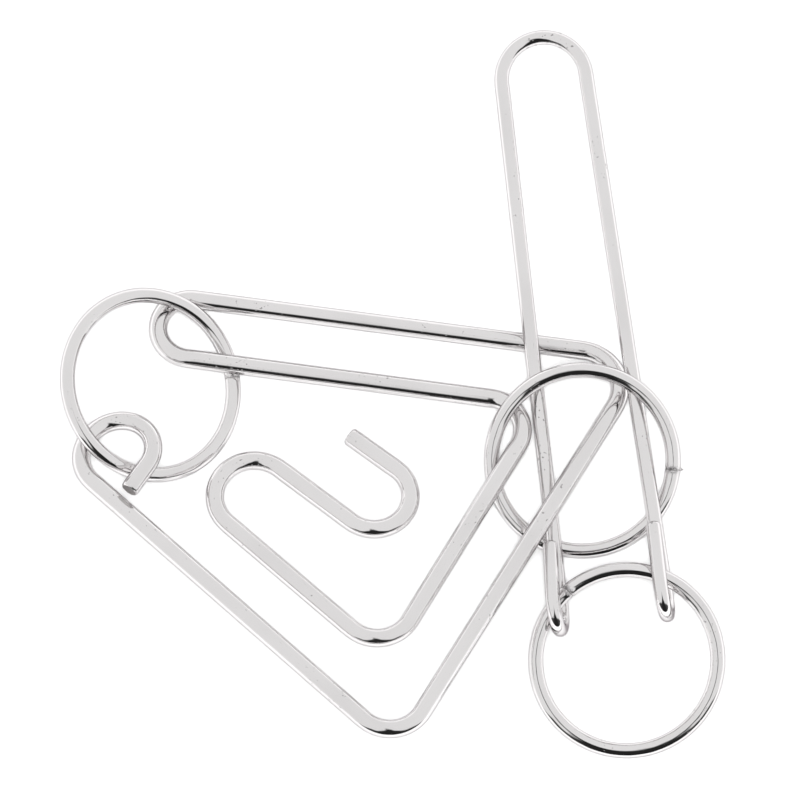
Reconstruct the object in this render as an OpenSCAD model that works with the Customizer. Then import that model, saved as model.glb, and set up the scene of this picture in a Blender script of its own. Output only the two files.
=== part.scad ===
// Ring disentanglement puzzle in bright plated round wire, lying on a table as it is shown.
// One flat spiral wire, one long hairpin with an eye on each leg, and three plain closed rings.
// Every piece is one continuous wire, and the pieces only thread through each other.
// Millimetres. z = 0 is the table, +Z is up, +Y points to the hairpin's closed end,
// and the origin is under the middle of the puzzle's bounding box.

/* [Wire] */
// Thickness of the spiral's wire
spiral_wire_d = 2.5; // [2.2:0.05:2.6]
// Thickness of the hairpin's wire
hairpin_wire_d = 2.0; // [1.6:0.05:2.1]
// Thickness of the rings' wire
ring_wire_d = 2.0; // [1.6:0.05:2.1]

/* [Rings] */
// Outside diameter of each ring
ring_d = 26.2; // [26:0.05:26.4]

/* [Spiral, outer half] */
// Straight top bar, from the left bend to the upper right corner
top_bar_len = 52.3; // [51.8:0.1:52.8]
// Turn at the upper right corner, in degrees
corner_turn = 112.7; // [112:0.1:113.5]
// Bend radius of the upper right corner
corner_r = 5.5; // [5:0.1:6]
// Straight outer right side
outer_right_len = 51.5; // [51:0.1:52]
// Turn at the outer bottom tip, in degrees
tip_turn = 103.2; // [102.5:0.1:104]
// Bend radius of the outer bottom tip
tip_r = 5.0; // [4.5:0.1:5.5]
// Straight outer left side, up to the small eye
outer_left_len = 49.4; // [49:0.1:50]
// Bend radius of the small eye
eye_r = 4.7; // [4.5:0.05:4.9]
// First part of the small eye's bend, lying in the spiral's plane, in degrees
eye_flat_turn = 80; // [75:1:85]
// Rest of the small eye's bend, in degrees
eye_rise_turn = 180; // [176:1:184]
// Straight length between the two parts of the small eye's bend
eye_mid_len = 0.6; // [0.4:0.1:1]
// How far the rest of the small eye leans up out of the spiral's plane, in degrees
eye_rise = 14; // [12:1:18]
// Straight cut end of the small eye
eye_end_len = 4.4; // [3.8:0.1:4.6]

/* [Spiral, inner half] */
// Bend radius of the bend between the two bars
bar_bend_r = 4.35; // [4.2:0.05:4.5]
// Straight second bar
second_bar_len = 41.1; // [40.6:0.1:41.3]
// Turn at the inner corner, in degrees
inner_corner_turn = 112.2; // [111.5:0.1:113]
// Bend radius of the inner corner
inner_corner_r = 4.6; // [4.3:0.1:5]
// Straight inner right side
inner_right_len = 29.5; // [29:0.1:30]
// Turn at the inner bottom tip, in degrees
inner_tip_turn = 102.9; // [102:0.1:104]
// Bend radius of the inner bottom tip
inner_tip_r = 5.0; // [4.5:0.1:5.5]
// Straight inner left side
inner_left_len = 22.2; // [21.5:0.1:23]
// Turn of the inner left bend, in degrees
inner_bend_turn = 176.1; // [175:0.1:178]
// Bend radius of the inner left bend
inner_bend_r = 5.3; // [5:0.1:5.6]
// Straight short bar between the inner left bend and the hook
short_bar_len = 12.1; // [11.5:0.1:12.8]
// Turn of the hook, in degrees
hook_turn = 181.1; // [178:0.1:184]
// Bend radius of the hook
hook_r = 4.9; // [4.6:0.1:5.2]
// Straight free end after the hook
free_end_len = 7.8; // [6:0.1:9]

/* [Hairpin] */
// Bend radius of the hairpin's closed end
hairpin_bend_r = 5.65; // [5.5:0.05:5.8]
// How far each leg splays out from the hairpin's middle line, in degrees
leg_splay = 1.1; // [0.9:0.1:1.3]
// Straight leg, from the closed end to the eye's tip bend
leg_len = 71.5; // [71:0.1:72]
// Bend radius of an eye's tip
hairpin_eye_r = 3.05; // [3:0.05:3.1]
// Turn of an eye's tip, in degrees; more than half a turn, so that the cut end comes back to the leg
hairpin_eye_turn = 200; // [198:0.5:202]
// Straight return wire of the left eye
left_eye_back = 8.0; // [7:0.1:8.2]
// Straight return wire of the right eye
right_eye_back = 8.8; // [8:0.1:9.2]
// How far the left eye leans to the left of upright, in degrees
left_eye_lean = 8; // [6:1:12]
// How far the right eye leans to the left of upright, in degrees
right_eye_lean = 4.5; // [0:0.5:8]

/* [How the pieces lie] */
// Angle of the spiral's plane to the table, rising toward the bottom tips, in degrees
spiral_tilt = 14.4; // [14.2:0.1:14.6]
// Fall of the top bar from the left bend to the right corner, in degrees
spiral_fall = 0.4; // [0.3:0.05:0.5]
// Turn of the top bar clockwise from +X, seen from above, in degrees
spiral_turn = 7.5; // [7.4:0.05:7.6]
// Turn of the hairpin anticlockwise from +Y, in degrees
hairpin_turn = 7.4; // [7.3:0.05:7.5]
// Rise of the hairpin toward its closed end, in degrees
hairpin_slope = 0.4; // [0.3:0.05:0.5]
// Rise of the hairpin's right leg over its left leg, in degrees
hairpin_roll = 2.9; // [2.8:0.05:3]
// Angle of the left ring to the table, in degrees
left_ring_tilt = 25; // [24.8:0.1:25.2]
// Angle of the middle ring to the table, in degrees
middle_ring_tilt = 15.4; // [15.2:0.1:15.5]
// Angle of the lower ring to the table, in degrees
lower_ring_tilt = 15.6; // [15.4:0.1:15.8]

/* [Hidden] */
spiral_r = spiral_wire_d / 2;
hairpin_r = hairpin_wire_d / 2;
ring_wire_r = ring_wire_d / 2;
ring_r = ring_d / 2 - ring_wire_r;
round_fn = 48;
bend_lap = 0.1;
bend_thinning = 0.03;

// Where each piece's own reference point stands in the shared frame
spiral_at = [-26.4, 12.87, 1.63];
hairpin_at = [20.19, 42.29, 4.43];
left_ring_at = [-32.23, 0.51, ring_wire_r + ring_r * sin(left_ring_tilt)];
middle_ring_at = [25.23, -9.37, ring_wire_r + ring_r * sin(middle_ring_tilt)];
lower_ring_at = [31.09, -36.29, ring_wire_r + ring_r * sin(lower_ring_tilt)];
middle_ring_low_side = -85.7;
lower_ring_low_side = -85.8;

plating = [0.86, 0.86, 0.87];

// One bend of a round wire. It sets off along +Y from the origin and turns toward -X. A wire thins
// a little where it is bent, and the bend laps into the straights' ends, so that it is one solid.
module bend(angle, bend_r, wire_r) {
    lap_angle = bend_lap / bend_r * 180 / PI;
    translate([-bend_r, 0, 0])
    rotate([0, 0, -lap_angle])
    rotate_extrude(angle = angle + 2 * lap_angle, $fn = 96)
        translate([bend_r, 0, 0])
        circle(r = wire_r - bend_thinning, $fn = round_fn);
}

// A round wire, bent like a bending list says. Each row holds a straight length, a roll of the
// bending plane about the wire, a bend angle and a bend radius. It sets off along +Y and bends
// toward -X. The last row is only a straight length.
module bent_wire(rows, wire_r, i = 0) {
    if (rows[i][0] > 0)
        rotate([-90, 0, 0]) cylinder(h = rows[i][0], r = wire_r, $fn = round_fn);
    if (i < len(rows) - 1)
        translate([0, rows[i][0], 0])
        rotate([0, rows[i][1], 0]) {
            bend(rows[i][2], rows[i][3], wire_r);
            translate([-rows[i][3], 0, 0])
                rotate([0, 0, rows[i][2]])
                translate([rows[i][3], 0, 0])
                bent_wire(rows, wire_r, i + 1);
        }
}

// A closed ring of round wire, lying in the XY plane
module wire_ring() {
    rotate_extrude($fn = 128)
        translate([ring_r, 0, 0])
        circle(r = ring_wire_r, $fn = round_fn);
}

// From the left end of the top bar, over the upper right corner and the outer tip, to the small eye
outer_half = [
    [top_bar_len, 180, corner_turn, corner_r],
    [outer_right_len, 0, tip_turn, tip_r],
    [outer_left_len, 0, eye_flat_turn, eye_r],
    [eye_mid_len, -eye_rise, eye_rise_turn, eye_r],
    [eye_end_len]
];

// From the left end of the top bar, round the left bend and inward, to the hook and the free end
inner_half = [
    [0, 0, 180, bar_bend_r],
    [second_bar_len, 180, inner_corner_turn, inner_corner_r],
    [inner_right_len, 0, inner_tip_turn, inner_tip_r],
    [inner_left_len, 0, inner_bend_turn, inner_bend_r],
    [short_bar_len, 180, hook_turn, hook_r],
    [free_end_len]
];

// One continuous wire: the top bar lies along +X of the spiral's own plane
module spiral_wire() {
    color(plating)
    translate(spiral_at)
    rotate([-spiral_tilt, spiral_fall, -spiral_turn])
    union() {
        rotate([0, 0, -90]) bent_wire(outer_half, spiral_r);
        rotate([0, 0, 90]) bent_wire(inner_half, spiral_r);
    }
}

// One continuous wire: the origin of its own frame is the centre of the closed end's bend
module hairpin() {
    half_turn = 180 - 2 * leg_splay;
    left_leg = [
        [leg_len, 90 + left_eye_lean, hairpin_eye_turn, hairpin_eye_r],
        [left_eye_back]
    ];
    right_leg = [
        [leg_len, 90 + right_eye_lean, hairpin_eye_turn, hairpin_eye_r],
        [right_eye_back]
    ];
    color(plating)
    translate(hairpin_at)
    rotate([0, 0, hairpin_turn])
    rotate([hairpin_slope, 0, 0])
    rotate([0, -hairpin_roll, 0])
    union() {
        rotate([0, 0, leg_splay])
            translate([hairpin_bend_r, 0, 0])
            bend(half_turn, hairpin_bend_r, hairpin_r);
        rotate([0, 0, -leg_splay])
            translate([-hairpin_bend_r, 0, 0])
            rotate([0, 0, 180])
            bent_wire(left_leg, hairpin_r);
        rotate([0, 0, leg_splay])
            translate([hairpin_bend_r, 0, 0])
            rotate([0, 0, 180])
            bent_wire(right_leg, hairpin_r);
    }
}

// The left ring's low side is its right side
module left_ring() {
    color(plating)
    translate(left_ring_at)
    rotate([0, left_ring_tilt, 0])
    wire_ring();
}

module middle_ring() {
    color(plating)
    translate(middle_ring_at)
    rotate([0, 0, middle_ring_low_side])
    rotate([0, middle_ring_tilt, 0])
    wire_ring();
}

module lower_ring() {
    color(plating)
    translate(lower_ring_at)
    rotate([0, 0, lower_ring_low_side])
    rotate([0, lower_ring_tilt, 0])
    wire_ring();
}

spiral_wire();
left_ring();
middle_ring();
hairpin();
lower_ring();
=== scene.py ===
"""Looks of the ring disentanglement puzzle: five pieces of bright nickel-plated round wire.

Every piece is a round wire swept along the same bending list as the CAD part, with the things a
bent and plated wire shows: a little thinning in the bends, sheared ends, the rings' closing
seams, draw lines, pits and a wavy skin of plating.
"""

import math

import bpy
import numpy as np
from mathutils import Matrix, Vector


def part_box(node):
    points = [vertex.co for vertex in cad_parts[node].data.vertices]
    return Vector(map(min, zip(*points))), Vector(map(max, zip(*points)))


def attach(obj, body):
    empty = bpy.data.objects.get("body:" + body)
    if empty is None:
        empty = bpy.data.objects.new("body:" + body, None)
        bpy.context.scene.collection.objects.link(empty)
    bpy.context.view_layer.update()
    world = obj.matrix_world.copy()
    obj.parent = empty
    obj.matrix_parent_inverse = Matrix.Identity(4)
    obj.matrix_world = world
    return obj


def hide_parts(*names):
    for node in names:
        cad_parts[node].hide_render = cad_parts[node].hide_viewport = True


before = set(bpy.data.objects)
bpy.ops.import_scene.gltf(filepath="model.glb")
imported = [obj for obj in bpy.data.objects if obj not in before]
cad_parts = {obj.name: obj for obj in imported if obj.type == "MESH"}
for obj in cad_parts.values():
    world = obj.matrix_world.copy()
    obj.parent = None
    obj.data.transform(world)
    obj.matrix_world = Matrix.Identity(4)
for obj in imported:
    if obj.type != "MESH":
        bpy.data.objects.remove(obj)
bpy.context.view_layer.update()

MM = 0.001

# ---------------------------------------------------------------- sizes, in millimetres and degrees
SPIRAL_WIRE_R = 1.25
HAIRPIN_WIRE_R = 1.0
RING_WIRE_R = 1.0
RING_R = 12.1
BEND_THINNING = 0.03          # how much thinner a wire's radius is in a bend
THINNING_RUN = 1.2            # length over which a straight thins into a bend

SPIRAL_AT = (-26.4, 12.87, 1.63)
SPIRAL_TILT, SPIRAL_FALL, SPIRAL_TURN = 14.4, 0.4, 7.5
HAIRPIN_AT = (20.19, 42.29, 4.43)
HAIRPIN_TURN, HAIRPIN_SLOPE, HAIRPIN_ROLL = 7.4, 0.4, 2.9
HAIRPIN_BEND_R, LEG_SPLAY = 5.65, 1.1

# Bending lists. A row is (straight length, roll about the wire, bend angle, bend radius).
OUTER_HALF = [(52.3, 180, 112.7, 5.5), (51.5, 0, 103.2, 5.0), (49.4, 0, 80, 4.7),
              (0.6, -14, 180, 4.7), (4.4,)]
INNER_HALF = [(0, 0, 180, 4.35), (41.1, 180, 112.2, 4.6), (29.5, 0, 102.9, 5.0),
              (22.2, 0, 176.1, 5.3), (12.1, 180, 181.1, 4.9), (7.8,)]
LEFT_LEG = [(71.5, 98, 200, 3.05), (8.0,)]
RIGHT_LEG = [(71.5, 94.5, 200, 3.05), (8.8,)]

LEFT_RING_LOW_SIDE, LEFT_RING_TILT = 0, 25
MIDDLE_RING_LOW_SIDE, MIDDLE_RING_TILT = -85.7, 15.4
LOWER_RING_LOW_SIDE, LOWER_RING_TILT = -85.8, 15.6
LEFT_RING_SEAM, MIDDLE_RING_SEAM, LOWER_RING_SEAM = 9, 80.5, 216

STEP = 0.22                   # spacing of the rings of vertices along a wire
RING_STEP = STEP * 0.75       # the same on the closed rings, whose seams are sharper
ROUND = 44                    # vertices round a wire

WIRE_WAVINESS = 0.012         # how deep the slow waves of the two long wires are
RING_WAVINESS = 0.006
CUT_RUN, CUT_DEPTH = 0.3, 0.16                # how far and how deep the cutter rolls an end in
CUT_FACE_SHARES = (0.93, 0.62, 0.3)           # loops of a cut face, as shares of its radius
CUT_FACE_DEPTHS = (0.0, 0.03, 0.05)           # how far each loop sits in
CUT_FACE_MIDDLE = 0.055                       # how far the middle sits in
GROOVE_DEPTH, GROOVE_WIDTH = 0.10, 0.16       # a ring's closing seam
BEAD_AT, BEAD_WIDTH = 0.42, 0.3               # the low beads on both sides of it
SPUR_WIDTH, SPUR_ANGLE = 0.14, 0.16           # a spur's width along the wire, and round it in radians
BURN_WIDTH = 0.45                             # scorched stretch at a seam


# ---------------------------------------------------------------- paths
def move(x, y, z):
    """A 4 by 4 matrix that shifts by x, y, z."""
    m = np.eye(4)
    m[:3, 3] = (x, y, z)
    return m


def turn(axis, degrees):
    """A 4 by 4 matrix that turns about the named axis, right-handed."""
    a = math.radians(degrees)
    i, j = {"x": (1, 2), "y": (2, 0), "z": (0, 1)}[axis]
    m = np.eye(4)
    m[i, i] = m[j, j] = math.cos(a)
    m[j, i], m[i, j] = math.sin(a), -math.sin(a)
    return m


def arc_points(m, angle, bend_r):
    """Points of an arc that leaves m's origin along +Y and turns toward -X: the centre lies one
    bend radius along -X, and the start point is turned about it in equal steps up to the angle."""
    count = max(3, int(math.ceil(math.radians(angle) * bend_r / STEP)))
    a = np.radians(angle) * np.arange(count + 1) / count
    local = np.stack([bend_r * np.cos(a) - bend_r, bend_r * np.sin(a), 0 * a, 1 + 0 * a], 1)
    return (local @ m.T)[:, :3]


def bent_path(m, rows):
    """Centreline of a bending list: a straight along +Y, then an arc in the rolled plane, and so on.
    Returns the points, and for each point 1 on an arc and 0 on a straight."""
    points, bent = [], []
    for row in rows:
        count = max(1, int(math.ceil(row[0] / STEP)))
        y = row[0] * np.arange(count + 1) / count
        straight = (np.stack([0 * y, y, 0 * y, 1 + 0 * y], 1) @ m.T)[:, :3]
        points.append(straight)
        bent.append(np.zeros(len(straight)))
        if len(row) > 1:
            m = m @ move(0, row[0], 0) @ turn("y", row[1])
            arc = arc_points(m, row[2], row[3])
            points.append(arc)
            bent.append(np.ones(len(arc)))
            m = m @ move(-row[3], 0, 0) @ turn("z", row[2]) @ move(row[3], 0, 0)
    return joined(points, bent)


def joined(points, bent):
    """The runs put end to end, without the points that two neighbouring runs share."""
    p, b = np.vstack(points), np.concatenate(bent)
    keep = np.r_[True, np.linalg.norm(np.diff(p, axis=0), axis=1) > 1e-5]
    return p[keep], b[keep]


def spiral_path():
    """From the free end, outward round the spiral, to the cut end of the small eye."""
    at = (move(*SPIRAL_AT) @ turn("z", -SPIRAL_TURN) @ turn("y", SPIRAL_FALL)
          @ turn("x", -SPIRAL_TILT))
    inner, inner_bent = bent_path(at @ turn("z", 90), INNER_HALF)
    outer, outer_bent = bent_path(at @ turn("z", -90), OUTER_HALF)
    return joined([inner[::-1], outer], [inner_bent[::-1], outer_bent])


def hairpin_path():
    """From the right eye's cut end, up the right leg, round the closed end and down the left leg."""
    at = (move(*HAIRPIN_AT) @ turn("z", HAIRPIN_TURN) @ turn("x", HAIRPIN_SLOPE)
          @ turn("y", -HAIRPIN_ROLL))
    right = at @ turn("z", LEG_SPLAY) @ move(HAIRPIN_BEND_R, 0, 0)
    left = at @ turn("z", -LEG_SPLAY) @ move(-HAIRPIN_BEND_R, 0, 0)
    right_leg, right_bent = bent_path(right @ turn("z", 180), RIGHT_LEG)
    left_leg, left_bent = bent_path(left @ turn("z", 180), LEFT_LEG)
    closed = arc_points(right, 180 - 2 * LEG_SPLAY, HAIRPIN_BEND_R)
    return joined([right_leg[::-1], closed, left_leg],
                  [right_bent[::-1], np.ones(len(closed)), left_bent])


def ring_path(node, low_side, tilt, seam):
    """A circle of the ring's radius about the middle of its CAD node, tilted about the horizontal
    line across its low side. It starts at the closing seam, given as an angle round the ring."""
    low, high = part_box(node)
    centre = [(low[i] + high[i]) / 2 / MM for i in range(3)]
    m = move(*centre) @ turn("z", low_side) @ turn("y", tilt)
    count = int(2 * math.pi * RING_R / RING_STEP)
    a = np.radians(seam) + 2 * np.pi * np.arange(count) / count
    local = np.stack([RING_R * np.cos(a), RING_R * np.sin(a), 0 * a, 1 + 0 * a], 1)
    return (local @ m.T)[:, :3]


# ---------------------------------------------------------------- wire surfaces
def frames_along(p, closed):
    """Two unit vectors across the wire at each point. On a ring the first is the ring's own axis.
    On an open wire each is the one before it, with the part along the new tangent taken out, so
    that the surface never twists on a straight."""
    if closed:
        t = np.roll(p, -1, 0) - np.roll(p, 1, 0)
        normal = np.cross(t[0], t[len(t) // 4])
        t /= np.linalg.norm(t, axis=1)[:, None]
        side = np.tile(normal / np.linalg.norm(normal), (len(p), 1))
        return side, np.cross(t, side)
    t = np.gradient(p, axis=0)
    t /= np.linalg.norm(t, axis=1)[:, None]
    side = np.zeros_like(p)
    start = np.cross(t[0], (0.0, 0.0, 1.0))
    side[0] = start / np.linalg.norm(start)
    for k in range(1, len(p)):
        s = side[k - 1] - t[k] * (side[k - 1] @ t[k])
        side[k] = s / np.linalg.norm(s)
    return side, np.cross(t, side)


def length_along(p):
    """Distance along the wire from its first point."""
    return np.r_[0.0, np.cumsum(np.linalg.norm(np.diff(p, axis=0), axis=1))]


def softened(bent, s):
    """The 0 or 1 of straight or bend, spread out over the thinning run by a moving average."""
    even = np.arange(0, s[-1], 0.1)
    value = np.interp(even, s, bent)
    width = int(THINNING_RUN / 0.1)
    spread = np.convolve(np.pad(value, width, mode="edge"), np.ones(width) / width, mode="same")
    return np.interp(s, even, spread[width:-width])


def ripples(s, a, seed, size):
    """Slow waviness of a drawn and plated wire: six sine waves along and round the wire with
    seeded phases, of at most the given size in millimetres, always inward."""
    rng = np.random.default_rng(seed)
    total = np.zeros((len(s), len(a)))
    for _ in range(6):
        wave, turns, phase = rng.uniform(4, 22), rng.integers(1, 4), rng.uniform(0, 6.28)
        total += np.sin(2 * np.pi * s[:, None] / wave + turns * a[None, :] + phase)
    return size * (0.5 + total / 12)


def round_angles():
    """The angle of each vertex round the wire: equal steps of a full turn."""
    return 2 * np.pi * np.arange(ROUND) / ROUND


def wire_mesh(name, p, radius, closed, inset, burn):
    """A closed tube round the centreline. Each vertex stands at the wire's radius less the inset
    from its centreline point, in the direction turned by its angle round the wire. A cut end is
    closed with a slightly hollow face, of loops at set shares of its radius round a middle point.
    The wire's own place of each vertex (across, across, along) is kept for the materials."""
    side, up = frames_along(p, closed)
    s = length_along(p)
    a = round_angles()
    r = radius - inset
    v = (p[:, None, :] + r[:, :, None] * (side[:, None, :] * np.cos(a)[None, :, None]
                                          + up[:, None, :] * np.sin(a)[None, :, None]))
    place = np.stack([radius * np.cos(a)[None, :] + 0 * s[:, None],
                      radius * np.sin(a)[None, :] + 0 * s[:, None],
                      s[:, None] + 0 * a[None, :]], 2)
    n = len(p)
    rows = n if closed else n - 1
    i, j = np.meshgrid(np.arange(rows), np.arange(ROUND), indexing="ij")
    i2, j2 = (i + 1) % n, (j + 1) % ROUND
    quads = np.stack([i * ROUND + j, i * ROUND + j2, i2 * ROUND + j2, i2 * ROUND + j], 2)
    verts, faces = v.reshape(-1, 3), quads.reshape(-1, 4).tolist()
    places, marks = place.reshape(-1, 3), burn.reshape(-1)
    cut = np.zeros(len(verts))
    if not closed:
        t0, t1 = p[0] - p[1], p[-1] - p[-2]
        for k, t, flip in ((0, t0, True), (n - 1, t1, False)):
            t = t / np.linalg.norm(t)
            base = len(verts)
            inner = [p[k] + (v[k] - p[k]) * share - t * depth
                     for share, depth in zip(CUT_FACE_SHARES, CUT_FACE_DEPTHS)]
            verts = np.vstack([verts] + inner + [[p[k] - t * CUT_FACE_MIDDLE]])
            loops = [np.arange(k * ROUND, (k + 1) * ROUND)]
            loops += [base + m * ROUND + np.arange(ROUND) for m in range(len(inner))]
            for low, high in zip(loops[:-1], loops[1:]):
                ring = np.stack([low, np.roll(low, -1), np.roll(high, -1), high], 1)
                faces += (ring[:, ::-1] if flip else ring).tolist()
            tip = np.full(ROUND, len(verts) - 1)
            last = np.stack([loops[-1], np.roll(loops[-1], -1), tip], 1)
            faces += (last[:, ::-1] if flip else last).tolist()
            extra = len(verts) - base
            places = np.vstack([places, np.c_[(verts[base:] - p[k]) @ side[k],
                                              (verts[base:] - p[k]) @ up[k],
                                              np.full(extra, s[k])]])
            marks = np.r_[marks, np.zeros(extra)]
            cut = np.r_[cut, np.ones(extra)]
    mesh = bpy.data.meshes.new(name)
    mesh.from_pydata((verts * MM).tolist(), [], faces)
    mesh.update()
    mesh.shade_smooth()
    for key, kind, data in (("wire_place", "FLOAT_VECTOR", (places * MM).ravel()),
                            ("weld_burn", "FLOAT", marks), ("cut_face", "FLOAT", cut)):
        layer = mesh.attributes.new(key, kind, "POINT")
        field = "vector" if kind == "FLOAT_VECTOR" else "value"
        layer.data.foreach_set(field, data.astype(np.float32))
    piece = bpy.data.objects.new(name, mesh)
    bpy.context.scene.collection.objects.link(piece)
    return piece


def open_wire(name, path, radius, seed):
    """A wire with two cut ends. Its inset is the thinning of its bends, the slow waves, and at each
    end a roll-in by the cutter that grows with the square of the way into the cut run."""
    p, bent = path
    s = length_along(p)
    a = round_angles()
    inset = BEND_THINNING * softened(bent, s)[:, None] + ripples(s, a, seed, WIRE_WAVINESS)
    to_end = np.minimum(s, s[-1] - s)
    roll_in = CUT_DEPTH * np.clip(1 - to_end / CUT_RUN, 0, 1) ** 2
    return wire_mesh(name, p, radius, False, inset + roll_in[:, None], 0 * inset)


def closed_ring(name, p, seed, bead, spur=0.0, spur_at=0.0, scar=1.0):
    """A ring closed at its seam. Its inset is a slow waviness, plus a sharp bell curve along the
    wire for the groove, less a bell curve on each side of it for the low beads, less a thin bell
    curve along and round the wire for the spur left there. Scar is how strongly the seam shows."""
    s = np.linalg.norm(p[1] - p[0]) * np.arange(len(p))
    total = s[-1] + s[1]
    off = np.minimum(s, total - s)[:, None]
    a = round_angles()[None, :]
    whole = np.round(total / 3)          # a whole number of waves of about 3 mm closes up
    wavy = RING_WAVINESS * (1 + np.sin(2 * np.pi * s[:, None] * whole / total + 2 * a + seed)
                             * np.sin(2 * np.pi * s[:, None] * 5 / total + a))
    uneven = 0.6 + 0.4 * np.sin(a * 2 + seed)
    groove = GROOVE_DEPTH * scar * np.exp(-(off / GROOVE_WIDTH) ** 2) * uneven
    beads = bead * np.exp(-((off - BEAD_AT) / BEAD_WIDTH) ** 2) * (0.5 + 0.5 * np.sin(a + 2 * seed))
    round_from_spur = np.mod(a - spur_at + np.pi, 2 * np.pi) - np.pi
    spike = (spur * np.exp(-(off / SPUR_WIDTH) ** 2)
             * np.exp(-(round_from_spur / SPUR_ANGLE) ** 2))
    burn = np.exp(-(off / (BURN_WIDTH * scar)) ** 2) * (0.45 + 0.55 * np.sin(a + seed) ** 2)
    return wire_mesh(name, p, RING_WIRE_R, True, wavy + groove - beads - spike, burn)


spiral_wire_plated = open_wire("spiral_wire_plated", spiral_path(), SPIRAL_WIRE_R, 3)
hairpin_plated = open_wire("hairpin_plated", hairpin_path(), HAIRPIN_WIRE_R, 8)
left_ring_plated = closed_ring(
    "left_ring_plated", ring_path("left_ring", LEFT_RING_LOW_SIDE, LEFT_RING_TILT, LEFT_RING_SEAM),
    seed=1, bead=0.03, spur=0.16, spur_at=math.pi / 2, scar=0.35)
middle_ring_plated = closed_ring(
    "middle_ring_plated",
    ring_path("middle_ring", MIDDLE_RING_LOW_SIDE, MIDDLE_RING_TILT, MIDDLE_RING_SEAM),
    seed=2, bead=0.06, spur=0.5, spur_at=math.pi / 2)
lower_ring_plated = closed_ring(
    "lower_ring_plated",
    ring_path("lower_ring", LOWER_RING_LOW_SIDE, LOWER_RING_TILT, LOWER_RING_SEAM),
    seed=4, bead=0.05)


# ---------------------------------------------------------------- nickel plating
BRIGHT_NICKEL = (0.785, 0.77, 0.77, 1)
HAZY_NICKEL = (0.745, 0.73, 0.73, 1)
NICKEL_EDGE_TINT = (0.30, 0.28, 0.29, 1)      # how dark the plating is where it is seen edge on
DARK_STEEL = (0.13, 0.12, 0.125, 1)           # in pits and scorched seams
CUT_STEEL = (0.62, 0.61, 0.60, 1)

SMOOTH, HAZY_ROUGHNESS = 0.05, 0.11
LINE_ROUGHNESS, SCORCH_ROUGHNESS, CUT_ROUGHNESS = 0.05, 0.35, 0.25

# heights of the surface's fine relief, in metres
FINE_LINE_RELIEF = 0.0000009
WIDE_LINE_RELIEF = 0.0000035
WAVE_RELIEF = 0.000016
PIT_RELIEF = 0.00003
GRAIN_RELIEF = 0.00012


def node_of(tree, kind, **values):
    """A shader node with its plain settings and socket values set."""
    n = tree.nodes.new(kind)
    for key, value in values.items():
        if key in n.inputs:
            n.inputs[key].default_value = value
        else:
            setattr(n, key, value)
    return n


def ramp_of(tree, source, low, high, out_low=0.0, out_high=1.0):
    """A smooth step of the source from low to high."""
    n = tree.nodes.new("ShaderNodeMapRange")
    n.interpolation_type = "SMOOTHSTEP"
    for i, value in enumerate((low, high, out_low, out_high), 1):
        n.inputs[i].default_value = value
    tree.links.new(source, n.inputs[0])
    return n.outputs[0]


def maths_of(tree, kind, a, b=0.0):
    """A maths node of the named kind on one or two sockets or numbers."""
    n = tree.nodes.new("ShaderNodeMath")
    n.operation = kind
    for i, value in enumerate((a, b)):
        if isinstance(value, (int, float)):
            n.inputs[i].default_value = value
        else:
            tree.links.new(value, n.inputs[i])
    return n.outputs[0]


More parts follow.
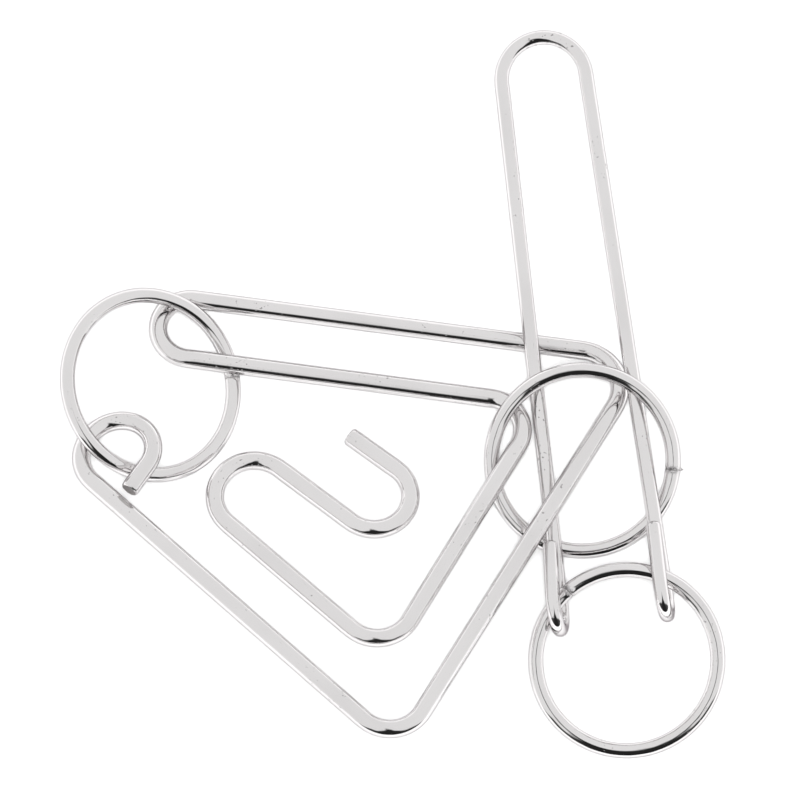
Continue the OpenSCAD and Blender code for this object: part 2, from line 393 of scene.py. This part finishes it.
def nickel_plating(name, pit_amount):
    """Bright nickel over drawn steel wire. Draw lines are noise drawn out along the wire, pits are
    the peaks of a fine noise inside the patches of a coarse one and show the dark steel, a soft
    haze sits in patches, the seams are scorched and the cut faces are rough bare steel."""
    m = bpy.data.materials.new(name)
    m.use_nodes = True
    t = m.node_tree
    t.nodes.clear()
    out = node_of(t, "ShaderNodeOutputMaterial")
    skin = node_of(t, "ShaderNodeBsdfPrincipled")
    t.links.new(skin.outputs[0], out.inputs[0])
    skin.inputs["Metallic"].default_value = 1.0
    skin.inputs["Specular Tint"].default_value = NICKEL_EDGE_TINT
    place = node_of(t, "ShaderNodeAttribute", attribute_name="wire_place")
    burn = node_of(t, "ShaderNodeAttribute", attribute_name="weld_burn")
    cut = node_of(t, "ShaderNodeAttribute", attribute_name="cut_face")

    def noise(scale, stretch, detail, rough=0.5):
        """Noise in the wire's own place, drawn out along the wire by the stretch."""
        mapping = node_of(t, "ShaderNodeMapping")
        mapping.inputs["Scale"].default_value = (1.0, 1.0, 1.0 / stretch)
        t.links.new(place.outputs["Vector"], mapping.inputs["Vector"])
        n = node_of(t, "ShaderNodeTexNoise", Scale=scale, Detail=detail, Roughness=rough)
        t.links.new(mapping.outputs[0], n.inputs["Vector"])
        return n.outputs["Fac"]

    lines = noise(5200.0, 60.0, 3.0)
    wide_lines = noise(1500.0, 25.0, 2.0)
    waves = noise(260.0, 3.0, 2.0)
    haze = noise(120.0, 2.0, 3.0)
    grain = noise(2600.0, 1.0, 3.0, 0.6)
    spots = noise(2900.0, 1.3, 1.0)
    where = noise(130.0, 1.5, 1.0)
    pit = ramp_of(t, spots, 0.70 - pit_amount * 0.04, 0.78 - pit_amount * 0.04)
    pitted = maths_of(t, "MULTIPLY", pit, ramp_of(t, where, 0.48, 0.60))
    scorch = maths_of(t, "MULTIPLY", burn.outputs["Fac"], ramp_of(t, grain, 0.35, 0.62))
    rough_end = cut.outputs["Fac"]

    colour = node_of(t, "ShaderNodeMix", data_type="RGBA")
    colour.inputs[6].default_value = BRIGHT_NICKEL
    colour.inputs[7].default_value = HAZY_NICKEL
    t.links.new(ramp_of(t, haze, 0.4, 0.7), colour.inputs[0])
    dark = node_of(t, "ShaderNodeMix", data_type="RGBA")
    dark.inputs[7].default_value = DARK_STEEL
    t.links.new(colour.outputs[2], dark.inputs[6])
    t.links.new(maths_of(t, "MAXIMUM", maths_of(t, "MULTIPLY", pitted, 0.62),
                       maths_of(t, "MULTIPLY", scorch, 0.85)), dark.inputs[0])
    bare = node_of(t, "ShaderNodeMix", data_type="RGBA")
    bare.inputs[7].default_value = CUT_STEEL
    t.links.new(dark.outputs[2], bare.inputs[6])
    t.links.new(rough_end, bare.inputs[0])
    t.links.new(bare.outputs[2], skin.inputs["Base Color"])

    gloss = ramp_of(t, haze, 0.35, 0.72, SMOOTH, HAZY_ROUGHNESS)
    gloss = maths_of(t, "ADD", gloss, ramp_of(t, wide_lines, 0.5, 0.75, 0.0, LINE_ROUGHNESS))
    gloss = maths_of(t, "ADD", gloss, maths_of(t, "MULTIPLY", scorch, SCORCH_ROUGHNESS))
    gloss = maths_of(t, "ADD", gloss, maths_of(t, "MULTIPLY", rough_end, CUT_ROUGHNESS))
    t.links.new(gloss, skin.inputs["Roughness"])

    height = maths_of(t, "ADD", maths_of(t, "MULTIPLY", lines, FINE_LINE_RELIEF),
                    maths_of(t, "MULTIPLY", wide_lines, WIDE_LINE_RELIEF))
    height = maths_of(t, "ADD", height, maths_of(t, "MULTIPLY", waves, WAVE_RELIEF))
    height = maths_of(t, "SUBTRACT", height, maths_of(t, "MULTIPLY", pitted, PIT_RELIEF))
    grainy = maths_of(t, "MULTIPLY", grain, GRAIN_RELIEF)
    where_grainy = maths_of(t, "MAXIMUM", scorch, maths_of(t, "MULTIPLY", rough_end, 0.4))
    height = maths_of(t, "ADD", height, maths_of(t, "MULTIPLY", grainy, where_grainy))
    bump = node_of(t, "ShaderNodeBump", Strength=1.0, Distance=1.0)
    t.links.new(height, bump.inputs["Height"])
    t.links.new(bump.outputs[0], skin.inputs["Normal"])
    return m


plating_on_spiral = nickel_plating("nickel_plating_on_spiral", 0.1)
plating_on_hairpin = nickel_plating("nickel_plating_on_hairpin", 1.0)
plating_on_rings = nickel_plating("nickel_plating_on_rings", 0.3)

for piece, node, plating in ((spiral_wire_plated, "spiral_wire", plating_on_spiral),
                             (left_ring_plated, "left_ring", plating_on_rings),
                             (middle_ring_plated, "middle_ring", plating_on_rings),
                             (hairpin_plated, "hairpin", plating_on_hairpin),
                             (lower_ring_plated, "lower_ring", plating_on_rings)):
    piece.data.materials.append(plating)
    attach(piece, node)
    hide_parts(node)


# ---------------------------------------------------------------- table, light tent and camera
def table_top():
    """A plain white table top, a square of eight metres."""
    mesh = bpy.data.meshes.new("white_table")
    mesh.from_pydata([(-4, -4, 0), (4, -4, 0), (4, 4, 0), (-4, 4, 0)], [], [(0, 1, 2, 3)])
    top = bpy.data.objects.new("white_table", mesh)
    bpy.context.scene.collection.objects.link(top)
    m = bpy.data.materials.new("white_table_top")
    m.use_nodes = True
    skin = m.node_tree.nodes["Principled BSDF"]
    skin.inputs["Base Color"].default_value = (0.92, 0.92, 0.92, 1)
    skin.inputs["Roughness"].default_value = 0.6
    skin.inputs["Specular IOR Level"].default_value = 0.0
    mesh.materials.append(m)
    return top


TENT_R = 5.0
CEILING_LIGHT = 0.92          # the tent's top, dimmer than its walls
WALL_LIGHT = 1.04
ROOM_LIGHT = 0.02             # the dark room seen through the tent's open front
SIDE_ROOM_LIGHT = 0.08        # the same, off to the sides
OPENING_ROUND = 6.0           # how far round toward +X the opening's middle lies, in degrees
OPENING_PEAK = 1.0            # sine of the elevation that the opening's narrow peak reaches
OPENING_TOP = 0.83            # the same beside the peak
OPENING_SILL = 0.62           # what share of that is left at the opening's sides


def light_tent():
    """The inside of a light tent, as a glowing dome round the table. Its light depends on the
    direction from the middle: dim at the top, bright on the walls, and dark in the open front on
    the -Y side, where the camera stands. The opening is wide at the table and narrows up."""
    rings, parts = 24, 48
    e = np.radians(np.linspace(-2, 90, rings))
    a = 2 * np.pi * np.arange(parts) / parts
    x = TENT_R * np.cos(e)[:, None] * np.cos(a)[None, :]
    y = TENT_R * np.cos(e)[:, None] * np.sin(a)[None, :]
    z = TENT_R * np.sin(e)[:, None] + 0 * a[None, :]
    verts = np.stack([x, y, z], 2).reshape(-1, 3)
    i, j = np.meshgrid(np.arange(rings - 1), np.arange(parts), indexing="ij")
    j2 = (j + 1) % parts
    quads = np.stack([i * parts + j, (i + 1) * parts + j, (i + 1) * parts + j2, i * parts + j2], 2)
    mesh = bpy.data.meshes.new("light_tent")
    mesh.from_pydata(verts.tolist(), [], quads.reshape(-1, 4).tolist())
    mesh.shade_smooth()
    tent = bpy.data.objects.new("light_tent", mesh)
    bpy.context.scene.collection.objects.link(tent)
    m = bpy.data.materials.new("tent_cloth_glow")
    m.use_nodes = True
    t = m.node_tree
    t.nodes.clear()
    out = node_of(t, "ShaderNodeOutputMaterial")
    glow = node_of(t, "ShaderNodeEmission", Strength=1.0)
    t.links.new(glow.outputs[0], out.inputs[0])
    where = node_of(t, "ShaderNodeTexCoord")
    unit = node_of(t, "ShaderNodeVectorMath", operation="NORMALIZE")
    t.links.new(where.outputs["Object"], unit.inputs[0])
    split = node_of(t, "ShaderNodeSeparateXYZ")
    t.links.new(unit.outputs[0], split.inputs[0])
    east, north, height = split.outputs
    wall = ramp_of(t, height, 0.34, 0.08, CEILING_LIGHT, WALL_LIGHT)
    # how far round from the open front the direction lies, as a sine: the opening's upper edge
    # is high in the middle, falls to a low sill on both sides, and ends before the side walls
    level = maths_of(t, "SQRT", maths_of(t, "SUBTRACT", 1.0, maths_of(t, "MULTIPLY", height, height)))
    level = maths_of(t, "MAXIMUM", level, 0.02)
    round_by = math.radians(OPENING_ROUND)
    turned = maths_of(t, "ADD", maths_of(t, "MULTIPLY", east, math.cos(round_by)),
                    maths_of(t, "MULTIPLY", north, math.sin(round_by)))
    aside = maths_of(t, "ABSOLUTE", maths_of(t, "DIVIDE", turned, level))
    edge = maths_of(t, "MULTIPLY", ramp_of(t, aside, 0.15, 0.26, OPENING_PEAK, OPENING_TOP),
                  maths_of(t, "MULTIPLY", ramp_of(t, aside, 0.26, 0.55, 1.0, OPENING_SILL),
                         ramp_of(t, aside, 0.62, 0.93, 1.0, 0.0)))
    above = maths_of(t, "SUBTRACT", height, edge)
    gap = maths_of(t, "MULTIPLY", ramp_of(t, above, 0.05, -0.09),
                 ramp_of(t, maths_of(t, "DIVIDE", north, level), -0.05, -0.20))
    room = ramp_of(t, aside, 0.25, 0.75, ROOM_LIGHT, SIDE_ROOM_LIGHT)
    light = maths_of(t, "ADD", maths_of(t, "MULTIPLY", wall, maths_of(t, "SUBTRACT", 1.0, gap)),
                   maths_of(t, "MULTIPLY", gap, room))
    t.links.new(light, glow.inputs["Strength"])
    mesh.materials.append(m)
    tent.visible_camera = False
    return tent


LAMP_WIDTH, LAMP_DISTANCE, LAMP_POWER = 0.7, 2.7, 54.0


def table_lamp(back):
    """A soft round light in line with the camera and a little further out. It is left out of
    reflections, so it brightens the table and not the plating, and no wire's shadow shows past
    the wire in the main view."""
    data = bpy.data.lights.new("table_lamp", "AREA")
    data.shape = "DISK"
    data.size = LAMP_WIDTH
    data.energy = LAMP_POWER
    lamp = bpy.data.objects.new("table_lamp", data)
    bpy.context.scene.collection.objects.link(lamp)
    lamp.location = back * LAMP_DISTANCE
    lamp.rotation_mode = "QUATERNION"
    lamp.rotation_quaternion = (-back).to_track_quat("-Z", "Y")
    lamp.visible_glossy = False
    lamp.visible_camera = False
    return lamp


table_top()
light_tent()

world = bpy.data.worlds.new("plain_white_room")
world.use_nodes = True
world.node_tree.nodes["Background"].inputs["Color"].default_value = (1, 1, 1, 1)
world.node_tree.nodes["Background"].inputs["Strength"].default_value = 1.0
bpy.context.scene.world = world
bpy.context.scene.view_settings.view_transform = "Standard"
bpy.context.scene.view_settings.look = "None"

VIEW_HEIGHT = 80.0            # degrees above the table
FIELD = 106.7 * MM            # width of what the camera sees at the table
DISTANCE = 2.5
SENSOR_WIDTH = 36.0           # of the camera, in its own millimetres
AIM = Vector((0.97 * MM, -0.45 * MM, 0.0))

camera_data = bpy.data.cameras.new("camera")
camera_data.sensor_width = SENSOR_WIDTH
camera_data.lens = SENSOR_WIDTH * DISTANCE / FIELD
camera_data.clip_start = 0.05
camera_data.clip_end = 50.0
camera = bpy.data.objects.new("camera", camera_data)
bpy.context.scene.collection.objects.link(camera)
back = Vector((0.0, -math.cos(math.radians(VIEW_HEIGHT)), math.sin(math.radians(VIEW_HEIGHT))))
camera.location = AIM + back * DISTANCE
table_lamp(back)
camera.rotation_mode = "QUATERNION"
camera.rotation_quaternion = (-back).to_track_quat("-Z", "Y")
bpy.context.scene.camera = camera
